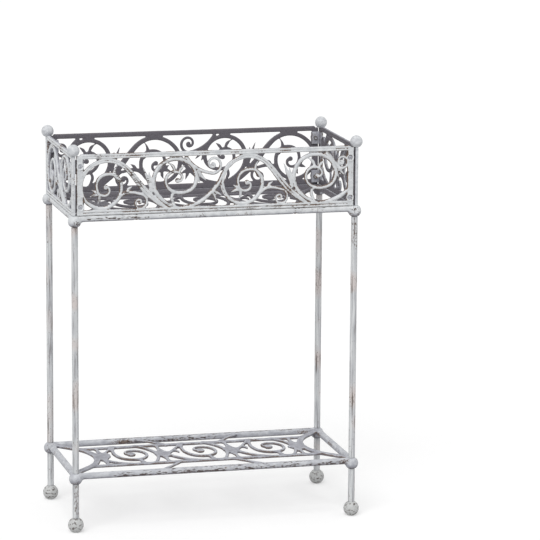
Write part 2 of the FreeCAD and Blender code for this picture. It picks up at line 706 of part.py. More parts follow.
def make_corner_screws():
    """Domed screws from the faces of the long panels through the lugs, each with a hexagon nut."""
    screws, nuts = [], []
    face = f"({HALF_Y} + sizes.bar_width / 2 - sizes.panel_inset + sizes.boss_rise)"
    seat = f"({face} - sizes.recess_depth)"
    inner = f"{HALF_Y} + sizes.bar_width / 2 - sizes.panel_inset - sizes.panel_thickness"
    nut_face = f"({inner} - sizes.lug_thickness)"
    length = f"{seat} - {nut_face} + sizes.nut_thickness"
    dome_share = "sizes.screw_head_height / (sizes.screw_head_diameter / 2)"
    for name, signs in CORNERS.items():
        outward = Rotation(Vector(1, 0, 0), -90 * signs[1])
        for number, height in enumerate(BOSS_HEIGHTS):
            x = f"{signs[0]} * ({LONG_PANEL} / 2 - sizes.boss_inset)"
            z = f"sizes.tray_height + {height}"
            label = f"{name}_{number}"
            shank = cylinder("shank_" + label, "sizes.screw_diameter", length,
                             at(x, f"{signs[1]} * ({nut_face} - sizes.nut_thickness)", z))
            head = doc.addObject("Part::Ellipsoid", "head_" + label)
            bind(head, {"Radius1": f"{dome_share} * sizes.screw_head_diameter / 2",
                        "Radius2": "sizes.screw_head_diameter / 2",
                        "Radius3": "sizes.screw_head_diameter / 2",
                        "Angle1": "0", **at(x, f"{signs[1]} * {seat}", z)})
            nut = doc.addObject("Part::Prism", "hexagon_" + label)
            bind(nut, {"Circumradius": "sizes.nut_width / 2 / cos(30)", "Height": "sizes.nut_thickness",
                       **at(x, f"{signs[1]} * ({nut_face} - sizes.nut_thickness)", z)})
            hole = cylinder("nut_hole_" + label, SCREW_HOLE, "sizes.nut_thickness",
                            at(x, f"{signs[1]} * ({nut_face} - sizes.nut_thickness)", z))
            for piece in (shank, head, nut, hole):
                piece.Placement.Rotation = outward
            screws.append(fuse("screw_" + label, [shank, head]))
            nuts.append(cut("nut_" + label, nut, [hole]))
    group("panel_screws", screws)
    group("panel_nuts", nuts)


def make_deck_screws():
    """Screws from under the tray bars up into the bottom rails of the panels."""
    screws = []
    underside = "sizes.tray_height - sizes.bar_height"
    for number, (x, y) in enumerate(deck_screw_places()):
        shank = cylinder(f"deck_shank_{number}", "sizes.deck_screw_diameter",
                         "sizes.bar_height + sizes.deck_screw_bite", at(x, y, underside))
        head = cylinder(f"deck_head_{number}", "sizes.deck_screw_head_diameter",
                        "sizes.deck_screw_head_height", at(x, y, underside))
        screws.append(fuse(f"deck_screw_{number}", [shank, head]))
    group("deck_screws", screws)


def check():
    for item in doc.Objects:
        if "Invalid" in item.State or "Error" in item.State:
            raise RuntimeError(f"{item.Name} failed: {item.State}")
    for item in subparts:
        if item.Shape.isNull() or not item.Shape.isValid() or not item.Shape.Solids:
            raise RuntimeError(f"{item.Label} has no sound shape")


make_decks()
make_panels()
make_corner_stacks()
make_corner_screws()
make_deck_screws()
doc.recompute()
check()
os.makedirs("parts", exist_ok=True)
for item in subparts:
    item.Shape.exportStep(f"parts/{item.Label}.step")
    print(item.Label, len(item.Shape.Solids), round(item.Shape.Volume / 1000, 2))
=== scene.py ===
import math

import bmesh
import bpy
from mathutils import Matrix, Vector


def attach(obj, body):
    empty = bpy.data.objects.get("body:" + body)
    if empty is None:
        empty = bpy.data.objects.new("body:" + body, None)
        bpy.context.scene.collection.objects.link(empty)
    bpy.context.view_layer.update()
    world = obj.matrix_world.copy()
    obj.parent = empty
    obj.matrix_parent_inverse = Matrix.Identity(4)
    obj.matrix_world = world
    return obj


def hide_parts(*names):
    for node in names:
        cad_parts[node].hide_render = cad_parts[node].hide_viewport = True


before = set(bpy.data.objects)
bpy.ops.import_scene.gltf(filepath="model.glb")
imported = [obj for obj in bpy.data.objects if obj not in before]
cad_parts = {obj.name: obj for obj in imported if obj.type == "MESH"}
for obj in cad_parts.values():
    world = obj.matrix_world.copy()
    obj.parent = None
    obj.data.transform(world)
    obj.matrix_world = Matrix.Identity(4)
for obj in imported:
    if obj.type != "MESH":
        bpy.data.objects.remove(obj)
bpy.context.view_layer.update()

MM = 0.001
CORNERS = ("front_left", "front_right", "back_left", "back_right")

# Sizes of the solids that the dressing is measured from, in millimetres
LEG_SPACING_X, LEG_SPACING_Y = 530, 246
LEG_X = LEG_SPACING_X / 2
TRAY_TOP = 594.5
INSIDE_BARS = (258.5, 116.5, 0)
INSIDE_PANELS = (263, 121.5, 0)
PANEL_HEIGHT, PANEL_THICKNESS = 113, 6
LONG_PANEL_FRONT, LONG_PANEL_HALF = 128, 261.5
SIDE_PANEL_FRONT, SIDE_PANEL_HALF = 270, 128
DRAWN_REPEAT = 265
BOSS_X, BOSS_HEIGHTS, BOSS_RADIUS = 254.5, (16, 91), 6

# Corners of a solid's loose triangles that are nearer than this, in millimetres, are one corner.
WELD = 0.002


def linear(shade):
    """A linear colour from an sRGB hex value."""
    channels = [int(shade[i:i + 2], 16) / 255 for i in (1, 3, 5)]
    return [c / 12.92 if c <= 0.04045 else ((c + 0.055) / 1.055) ** 2.4 for c in channels] + [1]


def add(tree, kind, inputs=None, **settings):
    """A node of that kind, with its settings, and its inputs set or linked."""
    made = tree.nodes.new(kind)
    for key, value in settings.items():
        setattr(made, key, value)
    for key, value in (inputs or {}).items():
        if isinstance(value, bpy.types.NodeSocket):
            tree.links.new(value, made.inputs[key])
        else:
            made.inputs[key].default_value = value
    return made


def per(millimetres):
    """The texture scale that gives a pattern of that size."""
    return 1 / (millimetres * MM)


def placed(name, data):
    """A new object in the scene, at the origin."""
    made = bpy.data.objects.new(name, data)
    bpy.context.scene.collection.objects.link(made)
    return made


# Materials


def material(name):
    made = bpy.data.materials.new(name)
    made.use_nodes = True
    made.node_tree.nodes.clear()
    return made, made.node_tree


def finish_material(tree, colour, roughness, height, bump_mm, **sockets):
    """The shader of a finish: its colour, gloss and bump, and what is the same all over it."""
    bump = add(tree, "ShaderNodeBump", {"Height": height, "Distance": bump_mm * MM, "Strength": 1})
    shader = add(tree, "ShaderNodeBsdfPrincipled", {
        "Base Color": colour, "Roughness": roughness, "Normal": bump.outputs[0],
        **{key.replace("_", " "): value for key, value in sockets.items()}})
    add(tree, "ShaderNodeOutputMaterial", {"Surface": shader.outputs[0]})


def casting_enamel():
    """Brushed enamel on sand-cast iron. It was brushed on from outside over a plum-grey first coat and then
    rubbed back, so outward faces are chalk white, thin places lilac-grey, the inside plum-grey, and edges and
    creases brown. Part of it is painted light: the plum-grey inside the tray and the brown and thinned enamel
    in creases, hollows and on stem sides are also painted shade, and the grille's lighter crests a painted
    highlight.
    Brush marks, specks and grit are drawn coarser than real ones, to show in the render."""
    brush_mm, speck_mm, grit_mm, patch_mm = 6, 2, 2.6, 34
    drawn_out = 0.2
    lilac_from, lilac_full = 0.16, 0.5
    chalk_from, chalk_full = 0.54, 0.98
    brown_from, brown_full = 1.05, 1.16
    pit_from, pit_full = 0.7, 0.77
    unpainted, painted = 0.1, 0.3
    made, tree = material("rubbed_enamel_on_cast_iron")
    place = add(tree, "ShaderNodeTexCoord").outputs["Object"]
    coat, hollow, groove, wall, rubbed = (
        add(tree, "ShaderNodeAttribute", attribute_name=name).outputs["Fac"]
        for name in ("coat", "hollow", "groove", "wall", "rubbed"))
    patches = add(tree, "ShaderNodeTexNoise", {
        "Vector": place, "Scale": per(patch_mm), "Detail": 2}).outputs[0]
    grit = add(tree, "ShaderNodeTexNoise", {"Vector": place, "Scale": per(grit_mm), "Detail": 2}).outputs[0]

    # Strokes run along the long sides, and along the end bars and side panels at the ends.
    aside = add(tree, "ShaderNodeSeparateXYZ", {0: place}).outputs[0]
    aside = add(tree, "ShaderNodeMath", {0: aside}, operation="ABSOLUTE").outputs[0]
    at_end = add(tree, "ShaderNodeMath", {0: aside, 1: INSIDE_BARS[0] * MM},
                 operation="GREATER_THAN").outputs[0]
    run = add(tree, "ShaderNodeMix", {0: at_end, 4: (drawn_out, 1, 1), 5: (1, drawn_out, 1)},
              data_type="VECTOR").outputs[1]
    stroke = add(tree, "ShaderNodeVectorMath", {0: place, 1: run}, operation="MULTIPLY").outputs[0]
    specks = add(tree, "ShaderNodeTexNoise", {
        "Vector": stroke, "Scale": per(speck_mm), "Detail": 3}).outputs[0]
    # A dab is half a stroke: the sum doubles the place, so its scale is halved.
    dab = add(tree, "ShaderNodeVectorMath", {0: place, 1: stroke}, operation="ADD").outputs[0]
    brushed = add(tree, "ShaderNodeTexNoise", {
        "Vector": dab, "Scale": per(2 * brush_mm), "Detail": 1.5}).outputs[0]

    coat_depth_and_shading = add(tree, "ShaderNodeMath", {0: brushed, 1: 0.22, 2: coat}, operation="MULTIPLY_ADD").outputs[0]
    first = add(tree, "ShaderNodeMapRange", {0: coat_depth_and_shading, 1: lilac_from, 2: lilac_full}).outputs[0]
    second = add(tree, "ShaderNodeMapRange", {0: coat_depth_and_shading, 1: chalk_from, 2: chalk_full}).outputs[0]
    shade = add(tree, "ShaderNodeMapRange", {0: brushed, 1: 0.3, 2: 0.7}).outputs[0]
    plum = add(tree, "ShaderNodeMix", {0: grit, 6: linear("#565258"), 7: linear("#737077")},
               data_type="RGBA").outputs[2]
    lilac = add(tree, "ShaderNodeMix", {0: shade, 6: linear("#A0A1AA"), 7: linear("#B6B8BF")},
                data_type="RGBA").outputs[2]
    chalk = add(tree, "ShaderNodeMix", {0: shade, 6: linear("#C9CCCF"), 7: linear("#DFE1E3")},
                data_type="RGBA").outputs[2]
    colour = add(tree, "ShaderNodeMix", {0: first, 6: plum, 7: lilac}, data_type="RGBA").outputs[2]
    colour = add(tree, "ShaderNodeMix", {0: second, 6: colour, 7: chalk}, data_type="RGBA").outputs[2]

    # Where the enamel is worn through, with brown also as painted shade in grooves, hollows and on walls, and
    # pits where it was rubbed; not where there is hardly any enamel.
    scraped = add(tree, "ShaderNodeMath", {0: rubbed, 1: groove}, operation="MULTIPLY").outputs[0]
    brown_mask = patches
    for mark, weight in ((grit, 0.6), (hollow, 0.3), (groove, 0.14), (scraped, 0.3), (wall, 1.0)):
        brown_mask = add(tree, "ShaderNodeMath", {0: mark, 1: weight, 2: brown_mask}, operation="MULTIPLY_ADD").outputs[0]
    brown_mask = add(tree, "ShaderNodeMapRange", {0: brown_mask, 1: brown_from, 2: brown_full}).outputs[0]
    pits = add(tree, "ShaderNodeMath", {0: rubbed, 1: 0.31, 2: specks}, operation="MULTIPLY_ADD").outputs[0]
    pits = add(tree, "ShaderNodeMapRange", {0: pits, 1: pit_from, 2: pit_full}).outputs[0]
    brown_mask = add(tree, "ShaderNodeMath", {0: brown_mask, 1: pits}, operation="MAXIMUM").outputs[0]
    covered = add(tree, "ShaderNodeMapRange", {0: coat, 1: unpainted, 2: painted}).outputs[0]
    brown_mask = add(tree, "ShaderNodeMath", {0: brown_mask, 1: covered}, operation="MULTIPLY").outputs[0]
    brown = add(tree, "ShaderNodeMix", {0: brushed, 6: linear("#3E3334"), 7: linear("#86705F")},
                data_type="RGBA").outputs[2]
    brown = add(tree, "ShaderNodeMix", {0: pits, 6: brown, 7: linear("#4A3F3C")}, data_type="RGBA").outputs[2]
    colour = add(tree, "ShaderNodeMix", {0: brown_mask, 6: colour, 7: brown}, data_type="RGBA").outputs[2]
    gloss = add(tree, "ShaderNodeMapRange", {0: second, 3: 0.68, 4: 0.5}).outputs[0]
    finish_material(tree, colour, gloss, grit, 0.3, IOR=1.5)
    return made


def rod_enamel():
    """The same enamel drawn down the legs in long strokes, so brown shows in thin upright streaks and in
    flecks, both drawn coarser than real ones, to show in the render."""
    streak_mm, fleck_mm, patch_mm = 3.4, 1.7, 55
    long_drawn, short_drawn = (1, 1, 0.05), (1, 1, 0.35)
    streak_from, streak_full = 0.735, 0.86
    fleck_from, fleck_full = 0.77, 0.83
    made, tree = material("streaked_enamel_on_rod")
    place = add(tree, "ShaderNodeTexCoord").outputs["Object"]
    rubbed = add(tree, "ShaderNodeAttribute", attribute_name="rubbed").outputs["Fac"]
    drawn = add(tree, "ShaderNodeMapping", {"Vector": place, "Scale": long_drawn}).outputs[0]
    streaks = add(tree, "ShaderNodeTexNoise", {
        "Vector": drawn, "Scale": per(streak_mm), "Detail": 3}).outputs[0]
    short = add(tree, "ShaderNodeMapping", {"Vector": place, "Scale": short_drawn}).outputs[0]
    flecks = add(tree, "ShaderNodeTexNoise", {
        "Vector": short, "Scale": per(fleck_mm), "Detail": 3}).outputs[0]
    patches = add(tree, "ShaderNodeTexNoise", {
        "Vector": place, "Scale": per(patch_mm), "Detail": 1}).outputs[0]

    bare = add(tree, "ShaderNodeMath", {0: patches, 1: 0.3, 2: streaks}, operation="MULTIPLY_ADD").outputs[0]
    bare = add(tree, "ShaderNodeMapRange", {0: bare, 1: streak_from, 2: streak_full}).outputs[0]
    fleck = add(tree, "ShaderNodeMath", {0: patches, 1: 0.25, 2: flecks}, operation="MULTIPLY_ADD").outputs[0]
    fleck = add(tree, "ShaderNodeMath", {0: rubbed, 1: 0.17, 2: fleck}, operation="MULTIPLY_ADD").outputs[0]
    fleck = add(tree, "ShaderNodeMapRange", {0: fleck, 1: fleck_from, 2: fleck_full}).outputs[0]
    bare = add(tree, "ShaderNodeMath", {0: bare, 1: fleck}, operation="MAXIMUM").outputs[0]
    blush = add(tree, "ShaderNodeMapRange", {0: patches, 1: 0.52, 2: 0.68}).outputs[0]
    soft = add(tree, "ShaderNodeMapRange", {0: streaks, 1: 0.38, 2: 0.62}).outputs[0]
    chalk = add(tree, "ShaderNodeMix", {0: soft, 6: linear("#DADCDD"), 7: linear("#B3B5B9")},
                data_type="RGBA").outputs[2]
    pale = add(tree, "ShaderNodeMix", {0: blush, 6: chalk, 7: linear("#CFC8C6")}, data_type="RGBA").outputs[2]
    brown = add(tree, "ShaderNodeMix", {0: flecks, 6: linear("#3C3534"), 7: linear("#7F726B")},
                data_type="RGBA").outputs[2]
    colour = add(tree, "ShaderNodeMix", {0: bare, 6: pale, 7: brown}, data_type="RGBA").outputs[2]
    finish_material(tree, colour, 0.55, flecks, 0.25, IOR=1.5)
    return made


def foot_enamel():
    """Enamel scuffed round the ball feet, in wavy brown-grey scratches down to the primer."""
    scuff_mm, fleck_mm = 9, 3.6
    scuff_from, scuff_full = 2.75, 3.4
    bands_in_unit = 20 / (2 * math.pi)
    made, tree = material("scuffed_enamel_on_ball")
    place = add(tree, "ShaderNodeTexCoord").outputs["Object"]
    scuffs = add(tree, "ShaderNodeTexWave", {
        "Vector": place, "Scale": per(scuff_mm) / bands_in_unit, "Distortion": 11, "Detail": 2,
        "Detail Scale": 1.2}, bands_direction="Z").outputs[1]
    flecks = add(tree, "ShaderNodeTexNoise", {
        "Vector": place, "Scale": per(fleck_mm), "Detail": 4}).outputs[0]
    brown_mask = add(tree, "ShaderNodeMath", {0: flecks, 1: 4.0, 2: scuffs}, operation="MULTIPLY_ADD").outputs[0]
    brown_mask = add(tree, "ShaderNodeMapRange", {0: brown_mask, 1: scuff_from, 2: scuff_full}).outputs[0]
    pale = add(tree, "ShaderNodeMix", {0: flecks, 6: linear("#CFD0CF"), 7: linear("#B4B5B5")},
               data_type="RGBA").outputs[2]
    colour = add(tree, "ShaderNodeMix", {0: brown_mask, 6: pale, 7: linear("#514844")}, data_type="RGBA").outputs[2]
    finish_material(tree, colour, 0.5, flecks, 0.25, IOR=1.5)
    return made


def screw_steel():
    """Turned steel, browned by age and dull: the grey of the metal shows through a thin uneven stain."""
    stain_mm = 3
    made, tree = material("browned_steel")
    place = add(tree, "ShaderNodeTexCoord").outputs["Object"]
    stain = add(tree, "ShaderNodeTexNoise", {"Vector": place, "Scale": per(stain_mm), "Detail": 3}).outputs[0]
    colour = add(tree, "ShaderNodeMix", {0: stain, 6: linear("#5C534E"), 7: linear("#9A9591")},
                 data_type="RGBA").outputs[2]
    gloss = add(tree, "ShaderNodeMapRange", {0: stain, 3: 0.35, 4: 0.6}).outputs[0]
    finish_material(tree, colour, gloss, stain, 0.1, Metallic=0.8)
    return made


# Castings


def tree_with(name, sockets):
    """An empty Geometry Nodes tree with named inputs and one way out, and its inputs' sockets."""
    tree = bpy.data.node_groups.new(name, "GeometryNodeTree")
    for label, kind in sockets.items():
        tree.interface.new_socket(label, in_out="INPUT", socket_type="NodeSocket" + kind)
    tree.interface.new_socket("Geometry", in_out="OUTPUT", socket_type="NodeSocketGeometry")
    return tree, add(tree, "NodeGroupInput").outputs


def close_tree(tree, geometry, finish):
    solid = add(tree, "GeometryNodeRealizeInstances", {"Geometry": geometry}).outputs[0]
    coated = add(tree, "GeometryNodeSetMaterial", {"Geometry": solid, "Material": finish}).outputs[0]
    add(tree, "NodeGroupOutput", {"Geometry": coated})
    return tree


def cast_skin():
    """Rounds a casting's edges, sinks its front between the ridge lines so that each stem is crowned, gives
    it the faint swell of sand moulding, and marks where its enamel is thick, where its grooves and edges
    are, and where it was rubbed back. The same marks carry painted shade on walls, undersides, grooves and
    inward faces, and a painted highlight on crests."""
    ridge_top_mm, ridge_foot_mm, face_mm = 0.8, 3.3, 0.4
    hollow_from_mm, hollow_full_mm = 0.1, 0.6
    crown_from_mm, crown_full_mm = 0.15, 0.7
    wall_from, wall_full = 0.97, 0.55
    sand_mm = 9
    tree, given = tree_with("cast_skin", {
        "Geometry": "Geometry", "Rounding": "Int", "Swell": "Float", "Outward": "Vector",
        "Coat Low": "Float", "Coat High": "Float", "Coat Most": "Float", "Open Field": "Vector",
        "Field Coat And Shade": "Float", "Wall Shade": "Float", "Crown Coat And Highlight": "Float",
        "Ridge Lines": "Object", "Front Level": "Float", "Ridge Depth": "Float", "Wall Wear And Shade": "Float",
        "Field Wear And Shade": "Float", "Rubbed Spots": "Object", "Rub Reach": "Float", "Material": "Material"})
    spot = add(tree, "GeometryNodeInputPosition").outputs[0]
    normal = add(tree, "GeometryNodeInputNormal").outputs[0]
    outward = given["Outward"]
    soft = add(tree, "GeometryNodeBlurAttribute", {"Value": spot, "Iterations": given["Rounding"]},
               data_type="FLOAT_VECTOR").outputs[0]
    skin = add(tree, "GeometryNodeSetPosition", {"Geometry": given["Geometry"], "Position": soft}).outputs[0]

    # Ridges: every point is measured where it would lie on the front face.
    reach = add(tree, "ShaderNodeVectorMath", {0: spot, 1: outward}, operation="DOT_PRODUCT").outputs[1]
    behind = add(tree, "ShaderNodeMath", {0: given["Front Level"], 1: reach}, operation="SUBTRACT").outputs[0]
    to_front = add(tree, "ShaderNodeVectorMath", {0: outward, 3: behind}, operation="SCALE").outputs[0]
    on_front = add(tree, "ShaderNodeVectorMath", {0: spot, 1: to_front}, operation="ADD").outputs[0]
    lines = add(tree, "GeometryNodeObjectInfo", {"Object": given["Ridge Lines"]}).outputs["Geometry"]
    lines = add(tree, "GeometryNodeCurveToMesh", {"Curve": lines}).outputs[0]
    off_ridge = add(tree, "GeometryNodeProximity", {0: lines, 2: on_front},
                    target_element="EDGES").outputs["Distance"]
    groove = add(tree, "ShaderNodeMapRange", {0: off_ridge, 1: ridge_top_mm * MM, 2: ridge_foot_mm * MM},
                 interpolation_type="SMOOTHSTEP").outputs[0]
    forward = add(tree, "ShaderNodeMapRange", {
        0: behind, 1: PANEL_THICKNESS * MM, 2: face_mm * MM}).outputs[0]
    groove = add(tree, "ShaderNodeMath", {0: groove, 1: forward}, operation="MULTIPLY").outputs[0]
    ridged = add(tree, "ShaderNodeMath", {0: given["Ridge Depth"], 1: 0.0},
                 operation="GREATER_THAN").outputs[0]
    marked = add(tree, "ShaderNodeMath", {0: groove, 1: ridged}, operation="MULTIPLY").outputs[0]
    sunk = add(tree, "ShaderNodeMath", {0: groove, 1: given["Ridge Depth"]}, operation="MULTIPLY").outputs[0]
    sunk = add(tree, "ShaderNodeMath", {0: sunk, 1: -1.0}, operation="MULTIPLY").outputs[0]
    inward = add(tree, "ShaderNodeVectorMath", {0: outward, 3: sunk}, operation="SCALE").outputs[0]
    skin = add(tree, "GeometryNodeStoreNamedAttribute", {"Geometry": skin, "Name": "groove", "Value": marked},
               data_type="FLOAT", domain="POINT").outputs[0]
    skin = add(tree, "GeometryNodeSetPosition", {"Geometry": skin, "Offset": inward}).outputs[0]

    sand = add(tree, "ShaderNodeTexNoise", {"Vector": spot, "Scale": per(sand_mm), "Detail": 2}).outputs[0]
    lift = add(tree, "ShaderNodeMath", {0: sand, 1: 0.1}, operation="SUBTRACT").outputs[0]
    lift = add(tree, "ShaderNodeMath", {0: lift, 1: given["Swell"]}, operation="MULTIPLY").outputs[0]
    push = add(tree, "ShaderNodeVectorMath", {0: normal, 3: lift}, operation="SCALE").outputs[0]
    skin = add(tree, "GeometryNodeSetPosition", {"Geometry": skin, "Offset": push}).outputs[0]

    # Hollows and crowns lie under or over the mean of what is round about; walls look aside.
    round_about = add(tree, "GeometryNodeBlurAttribute", {"Value": spot, "Iterations": 8},
                      data_type="FLOAT_VECTOR").outputs[0]
    sink = add(tree, "ShaderNodeVectorMath", {0: round_about, 1: spot}, operation="SUBTRACT").outputs[0]
    sink = add(tree, "ShaderNodeVectorMath", {0: sink, 1: normal}, operation="DOT_PRODUCT").outputs[1]
    hollow = add(tree, "ShaderNodeMapRange", {
        0: sink, 1: hollow_from_mm * MM, 2: hollow_full_mm * MM}).outputs[0]
    crown = add(tree, "ShaderNodeMapRange", {
        0: sink, 1: -crown_from_mm * MM, 2: -crown_full_mm * MM}).outputs[0]
    facing = add(tree, "ShaderNodeVectorMath", {0: normal, 1: outward}, operation="DOT_PRODUCT").outputs[1]
    wall = add(tree, "ShaderNodeMapRange", {0: facing, 1: wall_from, 2: wall_full}).outputs[0]
    # Walls that face down are marked more: painted shade under stems and bars.
    upright = add(tree, "ShaderNodeSeparateXYZ", {0: normal}).outputs[2]
    shade_under = add(tree, "ShaderNodeMath", {0: upright, 1: -0.3, 2: 1.0}, operation="MULTIPLY_ADD").outputs[0]
    wall = add(tree, "ShaderNodeMath", {0: wall, 1: shade_under}, operation="MULTIPLY").outputs[0]

    # The enamel is thick on what looks outward, and thinner on walls and in the open field; inward faces stay
    # plum-grey, also as painted shade inside the tray, and the thinning on walls is painted shade.
    coat = add(tree, "ShaderNodeMapRange", {
        0: facing, 1: given["Coat Low"], 2: given["Coat High"], 4: given["Coat Most"]}).outputs[0]
    apart = add(tree, "ShaderNodeVectorMath", {0: spot}, operation="ABSOLUTE").outputs[0]
    apart = add(tree, "ShaderNodeVectorMath", {0: given["Open Field"], 1: apart},
                operation="SUBTRACT").outputs[0]
    sides = add(tree, "ShaderNodeSeparateXYZ", {0: apart}).outputs
    within = add(tree, "ShaderNodeMath", {0: sides[0], 1: sides[1]}, operation="MINIMUM").outputs[0]
    within = add(tree, "ShaderNodeMapRange", {0: within, 1: -1 * MM, 2: 1 * MM}).outputs[0]
    thinned_with_shading = add(tree, "ShaderNodeMath", {0: coat, 1: given["Field Coat And Shade"]}, operation="MULTIPLY").outputs[0]
    # Walls lose coat: painted shade on the sides of stems and bars.
    wall_shade = add(tree, "ShaderNodeMath", {0: wall, 1: given["Wall Shade"]}, operation="MULTIPLY").outputs[0]
    thinned_with_shading = add(tree, "ShaderNodeMath", {0: thinned_with_shading, 1: wall_shade}, operation="SUBTRACT").outputs[0]
    # Crests get more coat: dry-brushed enamel, and a painted highlight.
    thinned_with_shading = add(tree, "ShaderNodeMath", {0: crown, 1: given["Crown Coat And Highlight"], 2: thinned_with_shading},
                  operation="MULTIPLY_ADD").outputs[0]
    coat = add(tree, "ShaderNodeMix", {0: within, 2: coat, 3: thinned_with_shading}, data_type="FLOAT").outputs[0]
    # Grooves get less coat: painted shade in the creases.
    low = add(tree, "GeometryNodeInputNamedAttribute", {"Name": "groove"}, data_type="FLOAT").outputs[0]
    coat = add(tree, "ShaderNodeMath", {0: low, 1: -0.2, 2: coat}, operation="MULTIPLY_ADD").outputs[0]
    # Brown on walls is edge wear, and painted shade.
    wear_and_shade = add(tree, "ShaderNodeMix", {0: within, 2: given["Wall Wear And Shade"], 3: given["Field Wear And Shade"]},
               data_type="FLOAT").outputs[0]
    wall = add(tree, "ShaderNodeMath", {0: wall, 1: wear_and_shade}, operation="MULTIPLY").outputs[0]

    spots = add(tree, "GeometryNodeObjectInfo", {"Object": given["Rubbed Spots"]}).outputs["Geometry"]
    near = add(tree, "GeometryNodeProximity", {0: spots}, target_element="POINTS").outputs["Distance"]
    rubbed = add(tree, "ShaderNodeMapRange", {0: near, 1: given["Rub Reach"], 2: 0}).outputs[0]
    for name, value in (("hollow", hollow), ("wall", wall), ("coat", coat), ("rubbed", rubbed)):
        skin = add(tree, "GeometryNodeStoreNamedAttribute", {"Geometry": skin, "Name": name, "Value": value},
                   data_type="FLOAT", domain="POINT").outputs[0]
    skin = add(tree, "GeometryNodeSetShadeSmooth", {"Geometry": skin}).outputs[0]
    return close_tree(tree, skin, given["Material"])


def made_mesh(name, start, tree, values):
    """The plain mesh that a tree makes of a start mesh, as an object of its own."""
    before = start.modifiers.new(tree.name, "NODES")
    before.node_group = tree
    sockets = {item.name: item.identifier for item in tree.interface.items_tree if item.in_out == "INPUT"}
    for label, value in values.items():
        before[sockets[label]] = value
    start.update_tag()
    graph = bpy.context.evaluated_depsgraph_get()
    mesh = bpy.data.meshes.new_from_object(start.evaluated_get(graph), depsgraph=graph)
    mesh.name = name
    finished = placed(name, mesh)
    bpy.data.objects.remove(start)
    return finished


def skin_over(node, tree, voxel_mm, values):
    """A casting's visible surface: the CAD node's solid, merged, remeshed evenly and dressed by the tree."""
    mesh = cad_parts[node].data.copy()
    edit = bmesh.new()
    edit.from_mesh(mesh)
    bmesh.ops.remove_doubles(edit, verts=edit.verts, dist=WELD * MM)
    edit.to_mesh(mesh)
    edit.free()
    start = placed("start_" + node, mesh)
    even = start.modifiers.new("even", "REMESH")
    even.mode = "VOXEL"
    even.voxel_size = voxel_mm * MM
    return made_mesh(node + "_cast", start, tree, values)


def hand_over(piece, slot, *nodes):
    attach(piece, "root")
    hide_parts(*nodes)


def volute(eye, outer, inner, start_degrees, turn_degrees):
    """An even spiral about eye, from the outer radius to the inner one."""
    steps = max(4, round(abs(turn_degrees) / 45))
    points = []
    for step in range(steps + 1):
        angle = math.radians(start_degrees + turn_degrees * step / steps)
        radius = outer + (inner - outer) * step / steps
        points.append((eye[0] + radius * math.cos(angle), eye[1] + radius * math.sin(angle)))
    return points


def beside(points, offsets):
    """A line drawn beside another, each point moved square to it by its own offset."""
    moved = []
    for i, offset in enumerate(offsets):
        before, after = Vector(points[max(i - 1, 0)]), Vector(points[min(i + 1, len(points) - 1)])
        along = (after - before).normalized()
        moved.append(Vector(points[i]) + offset * Vector((-along.y, along.x)))
    return moved


def scroll_lines(ends_panel):
    """The middle lines of one repeat of the panel pattern, as the part draws them: stems, volutes and leaf
    veins."""
    eye_radius, turn = 2.5, 450
    crest = [(11, 52), (20, 80), (41, 96), (65, 100), (88, 92), (108, 72), (126, 49), (146, 28), (176, 6)]
    split = [0, 1.8, 2, 2.2, 2.6, 2.8, 2.8, 2.2, 0]
    lines = [beside(crest, split), beside(crest, [-offset for offset in split])]
    lines.append([(11, 52), (25, 22), (50, 12), (76, 23), (87, 52), (79, 70), (60, 75),
                  (44, 66), (41, 50), (49, 37), (61, 38), (64, 49), (59, 52)])
    lines.append([(192, 7), (168, 20), (150, 42), (148, 66), (161, 89), (188, 99), (213, 91),
                  (227, 66), (222, 46), (206, 37), (186, 38), (172, 49), (171, 65), (182, 75),
                  (196, 72), (200, 61), (193, 57)])
    lines.append([(192, 7), (216, 11), (236, 19), (252, 32)] + ([] if ends_panel else [(266, 47), (277, 68)]))
    top, radius = ((239, 84), 13) if ends_panel else ((259, 87), 17)
    foot = top[1] - radius
    lines.append([(209, 100), (224, 84), (0.4 * 224 + 0.6 * top[0], foot + 3), (top[0], foot)])
    lines.append(volute(top, radius, eye_radius, -90, turn))
    lines.append([(84, 33), (94, 39), (107, 40), (121, 37)])
    lines.append(volute((121, 21), 16, eye_radius, 90, -turn))
    lines += [
        [(96, 40), (100, 46), (108, 51)],
        [(142, 44), (135, 66), (127, 87)],
        [(144, 40), (141, 62), (138, 79)],
        [(81, 62), (74, 79), (82, 93)],
        [(43, 37), (36, 37), (27, 33)],
        [(43, 38), (38, 43), (31, 47)],
        [(45, 37), (46, 29), (42, 20)],
        [(187, 74), (183, 86), (173, 92)],
        [(194, 73), (199, 81), (207, 87)],
        [(187, 38), (181, 28), (184, 18), (192, 9)],
        [(230, 76), (238, 65), (247, 56)],
        [(226, 73), (230, 62), (235, 52)],
    ]
    if not ends_panel:
        lines += [[(257, 37), (262, 27), (265, 17)], [(258, 38), (268, 33), (276, 28)]]
    return lines


def panel_lines(repeats, span, half_length):
    """All the ridges of a panel, in millimetres from the foot of its middle: scrolls, rails, stiles and boss
    rims."""
    rail_beads, stile_beads = (2.2, 7.8, 106, 111), (2.5, 6, 9.5)
    lines = []
    for repeat in range(repeats):
        stretch, start = span / repeats / DRAWN_REPEAT, span * repeat / repeats - span / 2
        for line in scroll_lines(ends_panel=repeat == repeats - 1):
            lines.append([(start + stretch * x, y) for x, y in line])
    for height in rail_beads:
        lines.append([(-half_length, height), (half_length, height)])
    for hand in (-1, 1):
        for inset in stile_beads:
            lines.append([(hand * (half_length - inset), 0), (hand * (half_length - inset), PANEL_HEIGHT)])
        if repeats > 1:
            lines += [volute((hand * BOSS_X, height), BOSS_RADIUS, BOSS_RADIUS, 0, 360)
                      for height in BOSS_HEIGHTS]
    return lines


